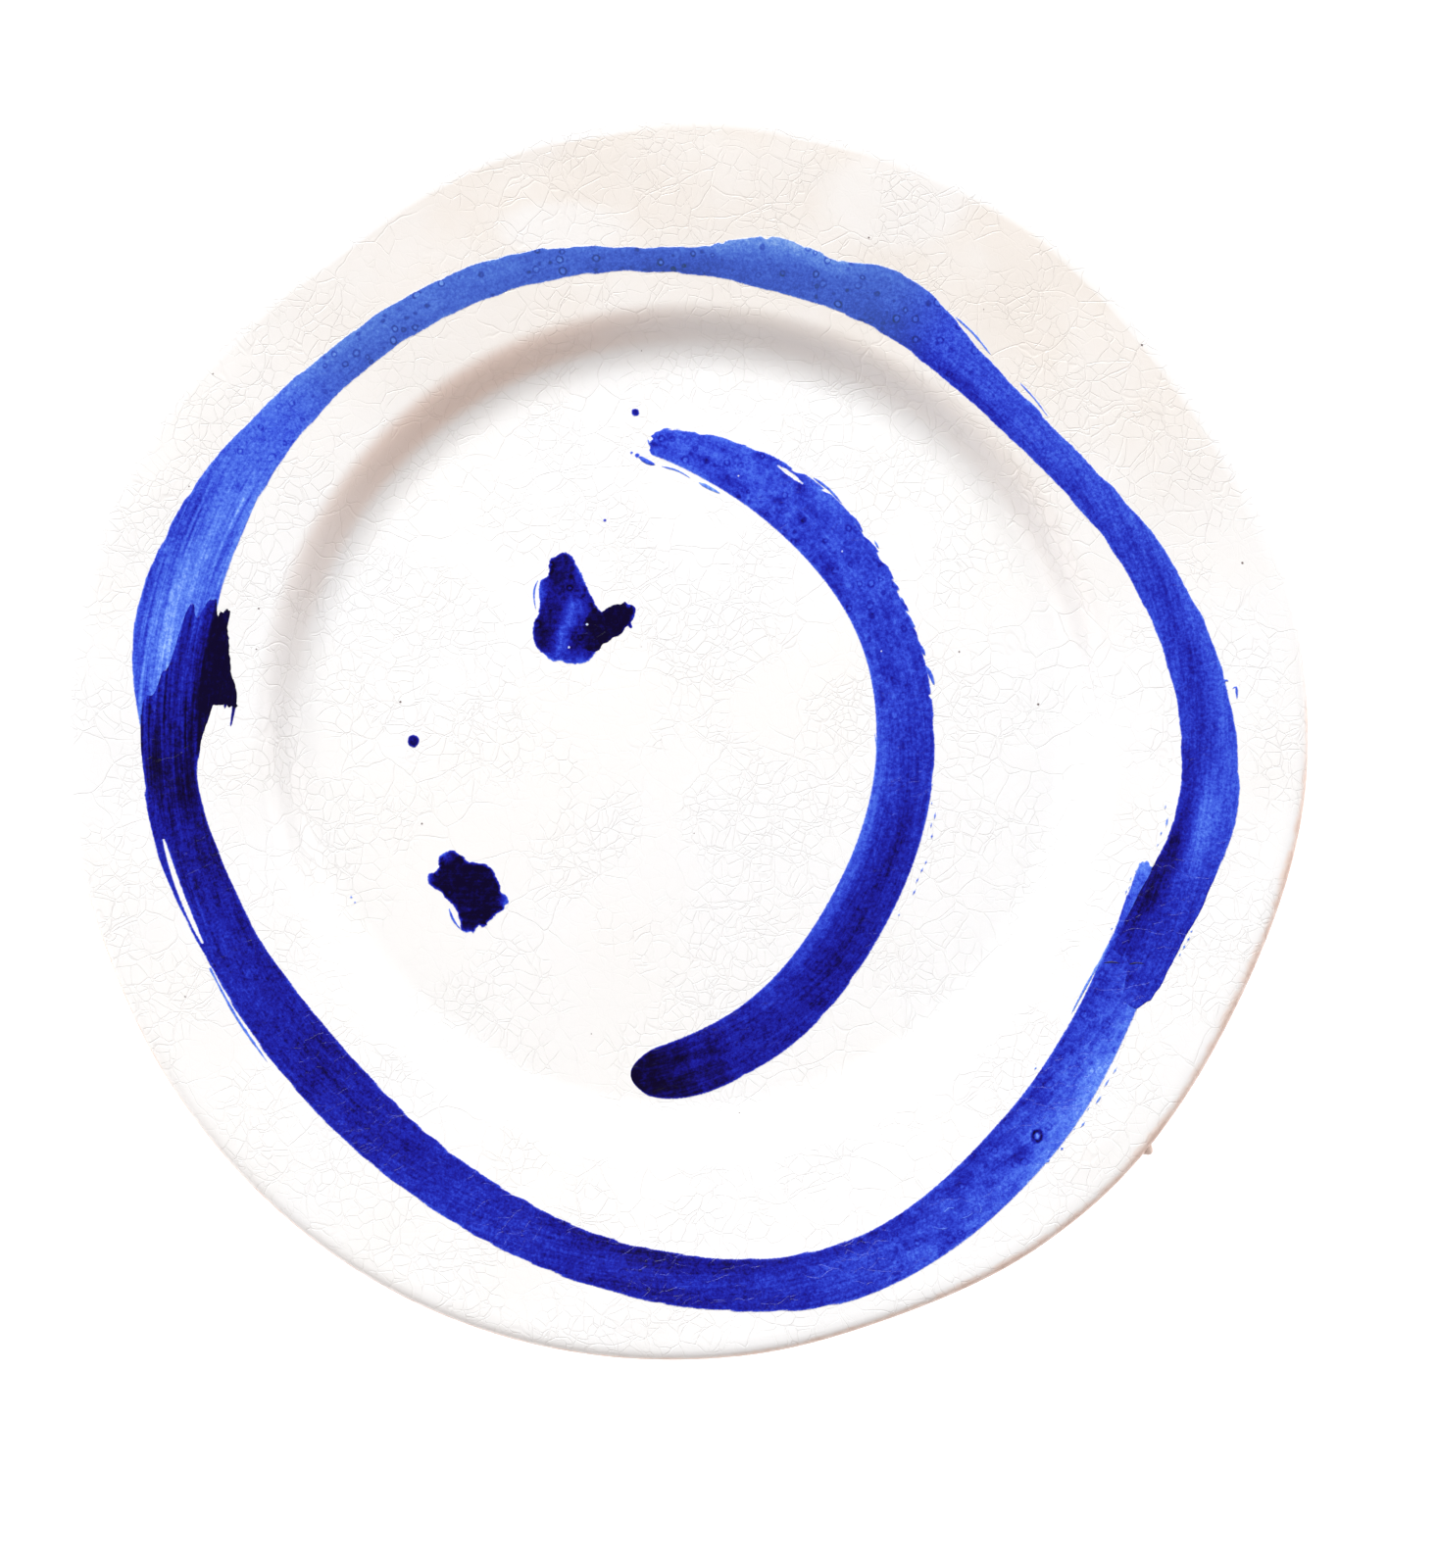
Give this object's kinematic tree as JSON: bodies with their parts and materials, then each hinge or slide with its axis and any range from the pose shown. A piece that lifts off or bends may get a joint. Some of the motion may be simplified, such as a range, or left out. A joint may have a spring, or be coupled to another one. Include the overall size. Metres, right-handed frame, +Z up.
{
  "type": "painted ceramic plate",
  "caption": "Hand-built round dinner plate with a deep well, a wavy rim, a luted foot ring and free brush strokes in blue on a crazed white glaze.",
  "frame": {"origin": "centre of the foot, on the surface that the plate stands on", "axes": "+Z up through the middle of the well; +X towards the middle of the painted arc; +Y is away from a viewer who sees the arc on the right"},
  "size_m": [0.26, 0.2612, 0.026],
  "materials": {
    "clay": "matt unglazed clay",
    "glaze": "glossy crazed white glaze",
    "cobalt": "glossy cobalt blue paint under the glaze"
  },
  "bodies": {
    "root": {"clay_body": "clay", "foot_ring": "clay", "glaze_front": "glaze", "glaze_back": "glaze", "glaze_recess": "glaze", "glaze_drip": "glaze", "ring_stroke_upper": "cobalt", "ring_stroke_lower": "cobalt", "arc_stroke": "cobalt", "dab_upper_long": "cobalt", "dab_upper_short": "cobalt", "dab_lower": "cobalt", "spatter_dots": "cobalt"}
  },
  "joints": []
}
